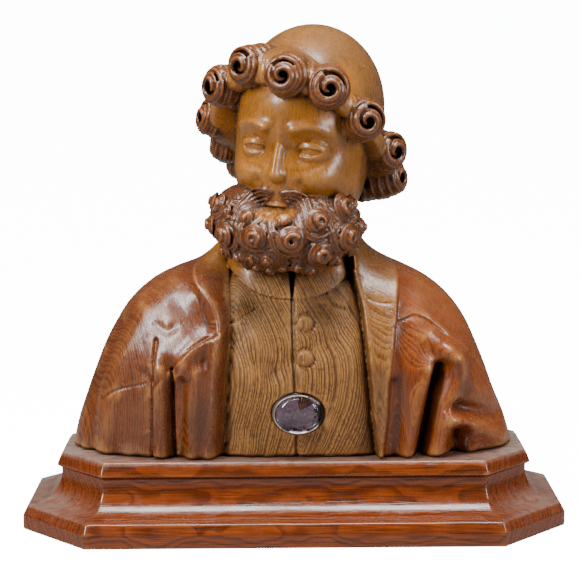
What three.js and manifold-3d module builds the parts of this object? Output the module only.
// A carved oak reliquary bust of a bearded saint with an oval crystal set in a metal collet on
// the chest, resting on a canted, cove-moulded wooden plinth.
// Millimetres, +Z up. The front faces -Y, +X is the viewer's right, and the origin is the centre
// of the plinth's underside.
import * as THREE from "three";
import { mergeVertices } from "three/addons/utils/BufferGeometryUtils.js";
import Module from "manifold-3d";

const wasm = await Module();
wasm.setup();

// Driving dimensions
const GAP = 0.3; // between pieces that touch
const PLINTH = { halfWidth: 230, halfDepth: 102.5, cant: 58, height: 63.6 };
const COVE = { inset: 8, centreZ: 47, reach: 24.5, rise: 26, steps: 6 };
const BUST_BASE = PLINTH.height + GAP;
const HEAD = { x: 16, y: -5, z: 351, turn: -20, lean: 4, nod: 4 }; // degrees
const SKULL = { halfWidth: 60, halfDepth: 78, height: 70.5 };
const FACE = { halfWidth: 53, halfDepth: 58, halfHeight: 64, y: -20, z: -46 };
const BEARD = { halfWidth: 67, halfDepth: 56, halfHeight: 41, x: -3, y: -44.5, z: -89 };
const HAIR_RING = { halfWidth: 76, halfDepth: 85 };
const CRYSTAL = { x: 3.5, z: 103.5, halfWidth: 18.6, halfHeight: 14.6, dome: 6.5, back: 5 };
const COLLET = { wall: 1.3, lip: 1.6, height: 4.2 };
const BUTTON = { radius: 6.5, height: 2.6, x: 9.5, upperZ: 179, lowerZ: 151 };

// The torso's silhouette and depth at each height above the plinth's underside
const LEVELS = [64, 90, 111, 133, 155, 173, 189, 202, 211, 218, 223, 229, 236, 243];
const LEFT = [190.7, 184.3, 177, 168.9, 159.9, 150.2, 139.7, 126.7, 113.8, 98, 82, 74, 66, 58];
const RIGHT = [189, 181.3, 172.5, 164.5, 155.5, 147, 136, 123, 110, 96, 84, 73, 64, 56];
const FRONT = [60, 66, 70, 72, 71, 67, 61, 55, 49, 43, 39, 35, 32, 30];
const BACK = [66, 70, 72, 73, 72, 70, 67, 64, 61, 58, 56, 54, 52, 50];
const RING_HEIGHTS = [64, 72, 81, 91, 101, 112, 123, 134, 145, 156, 167, 177, 186, 194, 201, 207, 213,
  219, 225, 234, 243];

// Edges in the front view, each the x where it runs at the heights below
const EDGE_HEIGHTS = [64, 100, 134, 154, 172, 194, 215, 243];
const MANTLE_LEFT_OUTER = [-70, -67, -65, -63, -61, -66, -78, -66];
const MANTLE_LEFT_INNER = [-60, -58, -56, -54, -53, -53, -54, -50];
const TUNIC_CLOSING = [3, 2, 1, 0.5, 0, -1, -1, -1];
const LAPEL_INNER = [70, 66, 63, 61, 59, 56, 50, 44];
const LAPEL_OUTER = [73, 76, 78, 80, 81.5, 84, 85, 66];
const LEFT_GROOVE = [-100, -100, -99, -99, -98, -96, -88, -70];
const SLEEVE_GROOVE = [105, 111, 119, 124, 124, 112, 94, 70];

// Small tools for numbers and surfaces

function level(table, values, z) {
  const last = table.length - 1;
  if (z <= table[0]) return values[0];
  if (z >= table[last]) return values[last];
  const k = table.findIndex((t) => t > z) - 1;
  const share = (z - table[k]) / (table[k + 1] - table[k]);
  return values[k] + share * (values[k + 1] - values[k]);
}

function ease(from, to, value) {
  const t = THREE.MathUtils.clamp((value - from) / (to - from), 0, 1);
  return t * t * (3 - 2 * t);
}

function solidOf(geometry) {
  const plain = geometry.clone();
  plain.deleteAttribute("normal");
  plain.deleteAttribute("uv");
  const merged = mergeVertices(plain, 1e-4);
  return new wasm.Manifold(
    new wasm.Mesh({
      numProp: 3,
      vertProperties: new Float32Array(merged.attributes.position.array),
      triVerts: new Uint32Array(merged.index.array),
    }),
  );
}

function geometryOf(solid) {
  const mesh = solid.getMesh();
  const geometry = new THREE.BufferGeometry();
  const points = new Float32Array(mesh.numVert * 3);
  for (let i = 0; i < mesh.numVert; i++) {
    points.set(mesh.vertProperties.subarray(i * mesh.numProp, i * mesh.numProp + 3), i * 3);
  }
  geometry.setAttribute("position", new THREE.BufferAttribute(points, 3));
  geometry.setIndex(new THREE.BufferAttribute(new Uint32Array(mesh.triVerts), 1));
  geometry.computeVertexNormals();
  return geometry;
}

// Moves every point of a geometry: place gets the point's x, y and z and returns the new ones.
function reshaped(geometry, place) {
  const position = geometry.attributes.position;
  for (let i = 0; i < position.count; i++) {
    position.setXYZ(i, ...place(position.getX(i), position.getY(i), position.getZ(i)));
  }
  return geometry;
}

// A stack of closed rings: place(column, row) gives a point, with column 0 at the front, columns
// counted towards +X, and row 0 at the bottom. Both ends are closed flat.
function ringLoft(columns, rows, place) {
  const geometry = new THREE.CylinderGeometry(1, 1, 1, columns, rows);
  const middle = (row) => {
    const sum = [0, 0, 0];
    for (let c = 0; c < columns; c++) {
      place(c, row).forEach((value, axis) => (sum[axis] += value / columns));
    }
    return sum;
  };
  const ends = [middle(0), middle(rows)];
  return reshaped(geometry, (x, y, z) => {
    const row = Math.round((y + 0.5) * rows);
    if (Math.hypot(x, z) < 0.5) return ends[row ? 1 : 0];
    const turn = Math.atan2(x, z) / (2 * Math.PI);
    return place((Math.round(turn * columns) + columns) % columns, row);
  });
}

// An ellipsoid about the origin with its poles on Z.
function ellipsoid(halfX, halfY, halfZ, around, down) {
  const ball = new THREE.SphereGeometry(1, around, down).rotateX(Math.PI / 2);
  return ball.scale(halfX, halfY, halfZ);
}

// Plinth: an octagon in plan, one profile carried round all eight sides

function cantedRing(inset) {
  const a = PLINTH.halfWidth - inset;
  const b = PLINTH.halfDepth - inset;
  const c = PLINTH.cant - inset * (2 - Math.SQRT2);
  return [
    [a - c, -b], [a, c - b], [a, b - c], [a - c, b],
    [c - a, b], [-a, b - c], [-a, c - b], [c - a, -b],
  ];
}

function plinthProfile() {
  const profile = [[0, 0], [0, 12], [4, 19.5], [COVE.inset, 21]];
  for (let k = 1; k <= COVE.steps; k++) {
    const angle = (k / COVE.steps) * (Math.PI / 2);
    profile.push([
      COVE.inset + COVE.reach * Math.sin(angle),
      COVE.centreZ - COVE.rise * Math.cos(angle),
    ]);
  }
  profile.push([32.5, 50], [28.5, 52.6], [31.5, 60], [34, PLINTH.height]);
  return profile;
}

function plinthSolid() {
  const profile = plinthProfile();
  return solidOf(
    ringLoft(8, profile.length - 1, (column, row) => {
      const [inset, z] = profile[row];
      const [x, y] = cantedRing(inset)[column];
      return [x, y, z];
    }),
  );
}

// Folds and grooves of the garment, as strokes of a gouge in the front view: a path of [x, z]
// points, the stroke's half width, and its height, below zero for a groove.
const FRONT_FOLDS = [
  { path: [[-99, 142], [-100, 64]], width: 8, height: -9 },
  { path: [[-80, 140], [-83, 64]], width: 8, height: 6 },
  { path: [[-113, 160], [-118, 64]], width: 6, height: 5 },
  { path: [[-124, 189], [-146, 140], [-160, 64]], width: 9, height: 5 },
  { path: [[-150, 170], [-168, 120], [-173, 64]], width: 6, height: -6 },
  { path: [[-92, 196], [-76, 180]], width: 14, height: -5 },
  { path: [[90, 178], [122, 172], [162, 126]], width: 7, height: -3 },
  { path: [[120, 138], [111, 100], [105, 64]], width: 7, height: -13 },
  { path: [[110, 134], [100, 105], [92, 64]], width: 8, height: 5 },
  { path: [[131, 145], [131, 110], [121, 64]], width: 8, height: 7 },
  { path: [[136, 136], [154, 120], [174, 108]], width: 10, height: 8 },
  { path: [[138, 104], [154, 98], [170, 92]], width: 9, height: -8 },
  { path: [[140, 90], [160, 80], [176, 70]], width: 10, height: 8 },
  { path: [[143, 72], [142, 64]], width: 9, height: -10 },
];
const BACK_FOLDS = [
  { path: [[-110, 175], [-128, 64]], width: 12, height: 6 },
  { path: [[-60, 190], [-72, 64]], width: 11, height: -6 },
  { path: [[-8, 200], [-14, 64]], width: 12, height: 6 },
  { path: [[48, 190], [60, 64]], width: 11, height: -6 },
  { path: [[104, 175], [122, 64]], width: 12, height: 6 },
];

function distanceToPath(x, z, path) {
  let nearest = Infinity;
  for (let k = 0; k < path.length - 1; k++) {
    const [x0, z0] = path[k];
    const [x1, z1] = path[k + 1];
    const along = ((x - x0) * (x1 - x0) + (z - z0) * (z1 - z0)) / ((x1 - x0) ** 2 + (z1 - z0) ** 2);
    const t = THREE.MathUtils.clamp(along, 0, 1);
    nearest = Math.min(nearest, Math.hypot(x - x0 - t * (x1 - x0), z - z0 - t * (z1 - z0)));
  }
  return nearest;
}

function foldHeight(folds, x, z) {
  let sum = 0;
  for (const fold of folds) {
    const far = distanceToPath(x, z, fold.path) / fold.width;
    sum += fold.height * Math.exp(-far * far);
  }
  return sum;
}

// The tunic lies lower than the mantle, and a dark channel runs along each of the mantle's edges.
function garmentHeight(x, z) {
  const leftInner = level(EDGE_HEIGHTS, MANTLE_LEFT_INNER, z);
  const leftOuter = level(EDGE_HEIGHTS, MANTLE_LEFT_OUTER, z);
  const rightInner = level(EDGE_HEIGHTS, LAPEL_INNER, z);
  const rightOuter = level(EDGE_HEIGHTS, LAPEL_OUTER, z);
  const open = ease(196, 240, z);
  if (x > leftInner && x < rightInner) {
    const edge = Math.min(x - leftInner, rightInner - x);
    return -4 - 6 * open - (4 + 6 * open) * (1 - ease(0, 14, edge));
  }
  if (x <= leftInner && x > leftOuter) {
    return -8 + 12 * ease(0, leftInner - leftOuter, leftInner - x) - 8 * open;
  }
  if (x >= rightInner && x < rightOuter) return -2 + 8 * ease(rightInner, rightOuter, x);
  const beyond = x < 0 ? leftOuter - x : x - rightOuter;
  return 6 - 5 * ease(0, 9, beyond) + 2 * ease(9, 22, beyond);
}

// Torso

// On each half of the front, columns follow these lines out from the closing of the tunic.
const RIGHT_LINES = [TUNIC_CLOSING, LAPEL_INNER, LAPEL_OUTER, SLEEVE_GROOVE];
const LEFT_LINES = [TUNIC_CLOSING, MANTLE_LEFT_INNER, MANTLE_LEFT_OUTER, LEFT_GROOVE];
const COLUMNS_BETWEEN = [6, 2, 4, 10];
const SIDE_COLUMN = COLUMNS_BETWEEN.reduce((sum, count) => sum + count);
const BACK_COLUMNS = 14;
const TORSO_COLUMNS = 2 * SIDE_COLUMN + BACK_COLUMNS;

// The x of a front column counted from the tunic's closing line: side is 1 right, -1 left.
function frontX(count, side, z) {
  const limit = side * level(LEVELS, side > 0 ? RIGHT : LEFT, z);
  const lines = (side > 0 ? RIGHT_LINES : LEFT_LINES).map((line, k) => {
    const x = level(EDGE_HEIGHTS, line, z);
    return side * Math.min(side * x, side * limit - 3 * (4 - k));
  });
  lines.push(limit);
  let band = 0;
  let left = count;
  while (left > COLUMNS_BETWEEN[band]) left -= COLUMNS_BETWEEN[band++];
  const share = left / COLUMNS_BETWEEN[band];
  const spread = band === COLUMNS_BETWEEN.length - 1 ? Math.sin((share * Math.PI) / 2) : share;
  return lines[band] + (lines[band + 1] - lines[band]) * spread;
}

// A point of the torso at height z, pushed out of the plain form by a height above it.
function torsoPoint(x, z, front, height) {
  const width = level(LEVELS, x < 0 ? LEFT : RIGHT, z);
  const depth = level(LEVELS, front ? FRONT : BACK, z);
  const across = THREE.MathUtils.clamp(Math.abs(x) / width, 0, 1);
  const plain = Math.sqrt(1 - across ** 3);
  const outX = Math.sign(x) * across ** 2 * depth;
  const outY = plain * width;
  const length = Math.hypot(outX, outY) || 1;
  const side = front ? -1 : 1;
  const still = 1 - across ** 6; // the silhouette stays where it is
  const push = height * still;
  return [x + (push * outX) / length, side * (depth * plain + (push * outY) / length), z];
}

function torsoSolid() {
  const rows = RING_HEIGHTS.length - 1;
  return solidOf(
    ringLoft(TORSO_COLUMNS, rows, (column, row) => {
      const z = row ? RING_HEIGHTS[row] : BUST_BASE;
      const fromLeft = TORSO_COLUMNS - column;
      if (column <= SIDE_COLUMN || fromLeft <= SIDE_COLUMN) {
        const right = column <= SIDE_COLUMN;
        const x = frontX(right ? column : fromLeft, right ? 1 : -1, z);
        return torsoPoint(x, z, true, garmentHeight(x, z) + foldHeight(FRONT_FOLDS, x, z));
      }
      const turn = (Math.PI * (column - SIDE_COLUMN)) / BACK_COLUMNS;
      const width = level(LEVELS, turn < Math.PI / 2 ? RIGHT : LEFT, z);
      const x = width * Math.cos(turn);
      return torsoPoint(x, z, false, foldHeight(BACK_FOLDS, x, z));
    }),
  );
}

// Neck with the tunic's standing collar, open in a small notch at the front

const COLLAR = { halfWidth: 56, front: 59, back: 44, low: 196, band: 24, sweep: 26, lean: 0.62 };
const NOTCH = { halfWidth: 4.5, depth: 18, stretch: 4, x: -1, y: -52, z: 214 };
const NECK = { halfWidth: 46, halfDepth: 45, halfHeight: 90, x: 8, y: 2, z: 240 };

function collarSolid() {
  const columns = 26;
  const rows = 3;
  const band = ringLoft(columns, rows, (column, row) => {
    const turn = (2 * Math.PI * column) / columns;
    const rise = (COLLAR.band * row) / rows;
    const ahead = Math.max(Math.cos(turn), 0);
    const sweep = COLLAR.sweep * (1 - ahead * ahead);
    const depth = ahead ? COLLAR.front - COLLAR.lean * (rise + sweep) : COLLAR.back;
    const square = (1 - Math.abs(Math.sin(turn)) ** 3) ** 0.5;
    return [
      (COLLAR.halfWidth - 0.3 * rise) * Math.sin(turn),
      -depth * square * Math.sign(Math.cos(turn)),
      COLLAR.low + sweep + rise,
    ];
  });
  const neck = ellipsoid(NECK.halfWidth, NECK.halfDepth, NECK.halfHeight, 16, 8);
  neck.translate(NECK.x, NECK.y, NECK.z);
  const notch = new THREE.ConeGeometry(NOTCH.halfWidth, NOTCH.depth, 4).rotateX(-Math.PI / 2);
  notch.scale(1, NOTCH.stretch, 1).translate(NOTCH.x, NOTCH.y, NOTCH.z);
  return solidOf(band).subtract(solidOf(notch)).add(solidOf(neck));
}

function buttonSolid(z) {
  const { radius, height } = BUTTON;
  const outline = [[0, -8], [radius, -8], [radius, 0], [radius * 0.8, height * 0.8], [0, height]];
  const button = new THREE.LatheGeometry(outline.map(([r, y]) => new THREE.Vector2(r, y)), 14);
  const surface = torsoPoint(BUTTON.x, z, true, garmentHeight(BUTTON.x, z));
  return solidOf(button.rotateX(Math.PI).translate(surface[0], surface[1], z));
}

// Head, built about its own centre and then turned, leaned and nodded into place

const headPlace = new THREE.Matrix4()
  .makeRotationZ(THREE.MathUtils.degToRad(HEAD.turn))
  .multiply(new THREE.Matrix4().makeRotationY(THREE.MathUtils.degToRad(HEAD.lean)))
  .multiply(new THREE.Matrix4().makeRotationX(THREE.MathUtils.degToRad(HEAD.nod)))
  .setPosition(HEAD.x, HEAD.y, HEAD.z);

// How far a ray from the head's centre travels before it leaves an ellipsoid.
function reach(direction, centreY, centreZ, halfX, halfY, halfZ) {
  const [dx, dy, dz] = [direction.x / halfX, direction.y / halfY, direction.z / halfZ];
  const [oy, oz] = [-centreY / halfY, -centreZ / halfZ];
  const a = dx * dx + dy * dy + dz * dz;
  const b = dy * oy + dz * oz;
  const c = oy * oy + oz * oz - 1;
  const inside = b * b - a * c;
  return inside < 0 ? 0 : (Math.sqrt(inside) - b) / a;
}

// A soft hollow or swelling on the face: centre, half sizes and height.
const FACE_FORMS = [
  { x: 23, z: -22, wide: 15, tall: 10, height: -10 },
  { x: 20, z: -4, wide: 18, tall: 7, height: 4 },
  { x: 34, z: -46, wide: 15, tall: 12, height: 4 },
];

const HEAD_HEART = { y: -8, z: -18 }; // rays from here reach every point of the head
const FACE_FROM = -20; // the face's forms lie in front of this y

function skullSolid() {
  const ball = new THREE.SphereGeometry(1, 22, 14).rotateX(Math.PI / 2);
  const start = new THREE.Vector3(0, HEAD_HEART.y, HEAD_HEART.z);
  return solidOf(
    reshaped(ball, (x, y, z) => {
      const direction = new THREE.Vector3(x, y, z).normalize();
      const skull = reach(direction, -start.y, -start.z, SKULL.halfWidth, SKULL.halfDepth, SKULL.height);
      const face = reach(direction, FACE.y - start.y, FACE.z - start.z, FACE.halfWidth,
        FACE.halfDepth, FACE.halfHeight);
      const length = (skull ** 8 + face ** 8) ** (1 / 8);
      const point = direction.clone().multiplyScalar(length).add(start);
      if (point.y < FACE_FROM) {
        for (const form of FACE_FORMS) {
          const across = (Math.abs(point.x) - form.x) / form.wide;
          const up = (point.z - form.z) / form.tall;
          point.y -= form.height * Math.exp(-across * across - up * up);
        }
      }
      return point.toArray();
    }),
  );
}

// The nose widens and comes forward from its root to its wings.
const NOSE = { top: -8, length: 42, root: 6, wings: 10, y: -72, rootForward: 9, tipForward: 17, back: 12 };

function noseSolid() {
  return solidOf(
    reshaped(new THREE.SphereGeometry(1, 10, 8).rotateX(Math.PI / 2), (x, y, z) => {
      const down = (1 - z) / 2;
      const width = NOSE.root + NOSE.wings * down ** 2;
      const forward = NOSE.rootForward + NOSE.tipForward * down;
      return [x * width, NOSE.y + y * (y < 0 ? forward : NOSE.back), NOSE.top - NOSE.length * down];
    }),
  );
}

const EYE = { x: 23, y: -59, z: -23, ball: 12.5, lidWidth: 15.5, lidDepth: 14.6, lidHeight: 13.2 };
const EYE_SLIT = { halfWidth: 13, depth: 30, halfHeight: 3.6, y: -72, z: -25 };

function eyeSolid(side) {
  const x = side * EYE.x;
  const ball = ellipsoid(EYE.ball, EYE.ball, EYE.ball, 8, 5).translate(x, EYE.y, EYE.z);
  const lids = ellipsoid(EYE.lidWidth, EYE.lidDepth, EYE.lidHeight, 10, 6).translate(x, EYE.y, EYE.z);
  const slit = ellipsoid(EYE_SLIT.halfWidth, EYE_SLIT.depth, EYE_SLIT.halfHeight, 8, 4);
  slit.translate(x, EYE_SLIT.y, EYE_SLIT.z);
  return solidOf(lids).subtract(solidOf(slit)).add(solidOf(ball));
}

const UPPER_LIP = { halfWidth: 17, forward: 11, halfHeight: 4, z: -72 };
const LOWER_LIP = { halfWidth: 15, forward: 12, halfHeight: 5, z: -80 };
const LIPS_Y = -80;

function mouthSolid() {
  const lips = [UPPER_LIP, LOWER_LIP].map((lip) => {
    const form = ellipsoid(lip.halfWidth, lip.forward, lip.halfHeight, 10, 4);
    return solidOf(form.translate(0, LIPS_Y, lip.z));
  });
  return wasm.Manifold.union(lips);
}

// A rolled curl: a turned form with an outer roll, an inner roll and a drilled eye. It stands on
// a centre point and faces along an axis.
function curlSolid(centre, axis, radius, profile, sides) {
  const points = profile.map(([r, y]) => new THREE.Vector2(r * radius, y * radius));
  const curl = new THREE.LatheGeometry(points, sides);
  const turn = new THREE.Quaternion().setFromUnitVectors(new THREE.Vector3(0, 1, 0), axis);
  curl.applyQuaternion(turn).translate(...centre.toArray());
  return solidOf(curl);
}

const HAIR_CURL = [[0, -0.8], [0.95, -0.5], [0.98, 0.05], [0.78, 0.34], [0.56, 0.1], [0.38, 0.26],
  [0, -0.2]];
const BEARD_CURL = [[0, -0.9], [0.85, -0.6], [1, 0.05], [0.72, 0.34], [0.4, 0.1], [0, 0.25]];

// The hair's rolled curls round the head: direction in degrees from the front towards +X, height
// above the head's centre, and how far they stand out from the ring. Those behind are laid out
// like those that show.
const HAIR_CURLS = [
  [-50, 21, 9], [-27, 41, 0], [4, 38, 3], [31, 29, 0], [56, 2, 2], [87, -28, 0], [106, -54, 0],
  [131, -61, 0], [156, -62, 0], [181, -62, 0], [206, -62, 0], [231, -61, 0], [254, -55, 4],
  [268, -36, 10], [283, -11, 14],
];
const HAIR_CURL_RADIUS = 20.5;

function hairSolid() {
  const curls = HAIR_CURLS.map(([degrees, height, out]) => {
    const turn = THREE.MathUtils.degToRad(degrees);
    const centre = new THREE.Vector3(
      (HAIR_RING.halfWidth + out) * Math.sin(turn),
      -(HAIR_RING.halfDepth + out) * Math.cos(turn),
      height,
    );
    const forward = 0.5 * Math.abs(Math.sin(turn)) * ease(-0.8, 0, Math.cos(turn));
    const axis = new THREE.Vector3(Math.sin(turn), -Math.cos(turn) - forward, 0.12).normalize();
    return curlSolid(centre, axis, HAIR_CURL_RADIUS, HAIR_CURL, 9);
  });
  return wasm.Manifold.union([...curls, hairBandSolid()]);
}

// The swept hair that joins the skull to the ring of curls.
function hairBandSolid() {
  const columns = 24;
  const rings = [[0.74, -15], [0.97, -9], [0.98, 6], [0.84, 16], [0.6, 20], [0.4, 20]];
  const curlsNear = (turn, column) => {
    let sum = 0;
    let weight = 0;
    for (const curl of HAIR_CURLS) {
      const gap = turn - THREE.MathUtils.degToRad(curl[0]);
      const near = Math.exp((Math.cos(gap) - 1) * 14);
      sum += near * curl[column];
      weight += near;
    }
    return sum / weight;
  };
  return solidOf(
    ringLoft(columns, rings.length - 1, (column, row) => {
      const turn = (2 * Math.PI * column) / columns;
      const [share, rise] = rings[row];
      const out = curlsNear(turn, 2);
      return [
        (HAIR_RING.halfWidth + out) * share * Math.sin(turn),
        -(HAIR_RING.halfDepth + out) * share * Math.cos(turn),
        curlsNear(turn, 1) + rise,
      ];
    }),
  );
}

// Beard curls: direction in degrees from the front, degrees above the beard's centre, radius.
const BEARD_CURLS = [
  [-74, 0, 11], [-58, 16, 10], [-64, -18, 11], [-41, -2, 12], [-40, -26, 11], [-28, 16, 10],
  [-10, -1, 14], [-14, -26, 11], [14, 18, 9], [22, -3, 14], [16, -30, 10], [43, 15, 12],
  [45, -13, 14], [68, 0, 13], [73, 21, 12], [88, 5, 10], [68, -26, 11], [101, 22, 10],
];

function beardSolid() {
  const centre = new THREE.Vector3(BEARD.x, BEARD.y, BEARD.z);
  const mass = ellipsoid(BEARD.halfWidth, BEARD.halfDepth, BEARD.halfHeight, 18, 10);
  const curls = BEARD_CURLS.map(([degrees, rise, radius]) => {
    const turn = THREE.MathUtils.degToRad(degrees);
    const up = THREE.MathUtils.degToRad(rise);
    const axis = new THREE.Vector3(
      Math.sin(turn) * Math.cos(up),
      -Math.cos(turn) * Math.cos(up),
      Math.sin(up),
    );
    const far = reach(axis, 0, 0, BEARD.halfWidth, BEARD.halfDepth, BEARD.halfHeight);
    return curlSolid(axis.clone().multiplyScalar(far).add(centre), axis, radius, BEARD_CURL, 7);
  });
  return wasm.Manifold.union([solidOf(mass.translate(...centre.toArray())), ...curls]);
}

// Moustache: strands that sweep from under the nose to the sides, one below the other.
const MOUSTACHE = { strands: 3, radius: 3.2, sides: 5 };

function moustacheSolid() {
  const strands = [];
  const round = new THREE.EllipseCurve(0, 0, MOUSTACHE.radius, MOUSTACHE.radius);
  const section = new THREE.Shape(round.getPoints(MOUSTACHE.sides).slice(0, MOUSTACHE.sides));
  for (const side of [-1, 1]) {
    for (let k = 0; k < MOUSTACHE.strands; k++) {
      const path = new THREE.CatmullRomCurve3([
        new THREE.Vector3(side * 4, -84 + k, -56 - k * 3.5),
        new THREE.Vector3(side * (18 + k), -86 + k, -60 - k * 4),
        new THREE.Vector3(side * (31 + k), -80 + k, -70 - k * 4),
        new THREE.Vector3(side * (40 - k * 2), -74, -79 - k * 4),
      ]);
      strands.push(
        solidOf(new THREE.ExtrudeGeometry(section, { steps: 4, extrudePath: path, bevelEnabled: false })),
      );
    }
  }
  return wasm.Manifold.union(strands);
}

function headSolid() {
  const parts = [
    skullSolid(), noseSolid(), eyeSolid(-1), eyeSolid(1), mouthSolid(),
    hairSolid(), beardSolid(), moustacheSolid(),
  ];
  return wasm.Manifold.union(parts).transform(headPlace.toArray());
}

// Crystal and its metal collet, let into the tunic

const OVAL_COLUMNS = 20;

function oval(offset, depth, columns) {
  const ring = [];
  for (let c = 0; c < columns; c++) {
    const turn = (2 * Math.PI * c) / columns;
    ring.push([
      CRYSTAL.x - (CRYSTAL.halfWidth + offset) * Math.sin(turn),
      depth,
      CRYSTAL.z + (CRYSTAL.halfHeight + offset) * Math.cos(turn),
    ]);
  }
  return ring;
}

// The tunic's surface behind the crystal: the seat that every depth below is counted from.
const SEAT_Y = torsoPoint(CRYSTAL.x, CRYSTAL.z, true, garmentHeight(CRYSTAL.x, CRYSTAL.z))[1];

function ovalStack(profile, columns) {
  const rows = profile.map(([offset, forward]) => oval(offset, SEAT_Y - forward, columns));
  return solidOf(ringLoft(columns, rows.length - 1, (column, row) => rows[row][column]));
}

function crystalSolid() {
  const profile = [[-1.5, -CRYSTAL.back], [0, -CRYSTAL.back + 1]];
  const steps = 5;
  for (let k = 0; k <= steps; k++) {
    const angle = ((Math.PI / 2) * k) / (steps + 0.6);
    profile.push([
      -CRYSTAL.halfHeight * (1 - Math.cos(angle)),
      1 + CRYSTAL.dome * Math.sin(angle),
    ]);
  }
  return ovalStack(profile, OVAL_COLUMNS);
}

function colletSolid() {
  const inner = GAP;
  const outer = GAP + COLLET.wall + COLLET.lip;
  const back = -CRYSTAL.back - 1.5;
  const cup = ovalStack(
    [[outer - 1.5, back], [outer, back + 1], [outer, 0.8], [inner + COLLET.wall, COLLET.height]],
    OVAL_COLUMNS,
  );
  const hollow = ovalStack([[inner, -CRYSTAL.back - GAP], [inner, COLLET.height + 3]], OVAL_COLUMNS);
  return cup.subtract(hollow);
}

function colletSeat() {
  const outer = 2 * GAP + COLLET.wall + COLLET.lip;
  return ovalStack([[outer, -CRYSTAL.back - 1.5 - GAP], [outer, 20]], OVAL_COLUMNS);
}

// The bust is carved from one block, so all of it is one solid.
function bustSolid() {
  const block = wasm.Manifold.union([
    torsoSolid(), collarSolid(), headSolid(), buttonSolid(BUTTON.upperZ), buttonSolid(BUTTON.lowerZ),
  ]);
  return block.subtract(colletSeat());
}

function piece(name, solid, color, roughness, metalness) {
  const material = new THREE.MeshStandardMaterial({ color, roughness, metalness });
  const mesh = new THREE.Mesh(geometryOf(solid), material);
  mesh.name = name;
  return mesh;
}

const crystal = piece("crystal", crystalSolid(), "#c9c2cc", 0.05, 0);
crystal.material.transparent = true;
crystal.material.opacity = 0.35;

const reliquary = new THREE.Group();
reliquary.add(
  piece("bust", bustSolid(), "#9a6334", 0.5, 0),
  crystal,
  piece("collet", colletSolid(), "#8f8c88", 0.35, 1),
  piece("plinth", plinthSolid(), "#7c3e20", 0.3, 0),
);

export default reliquary;
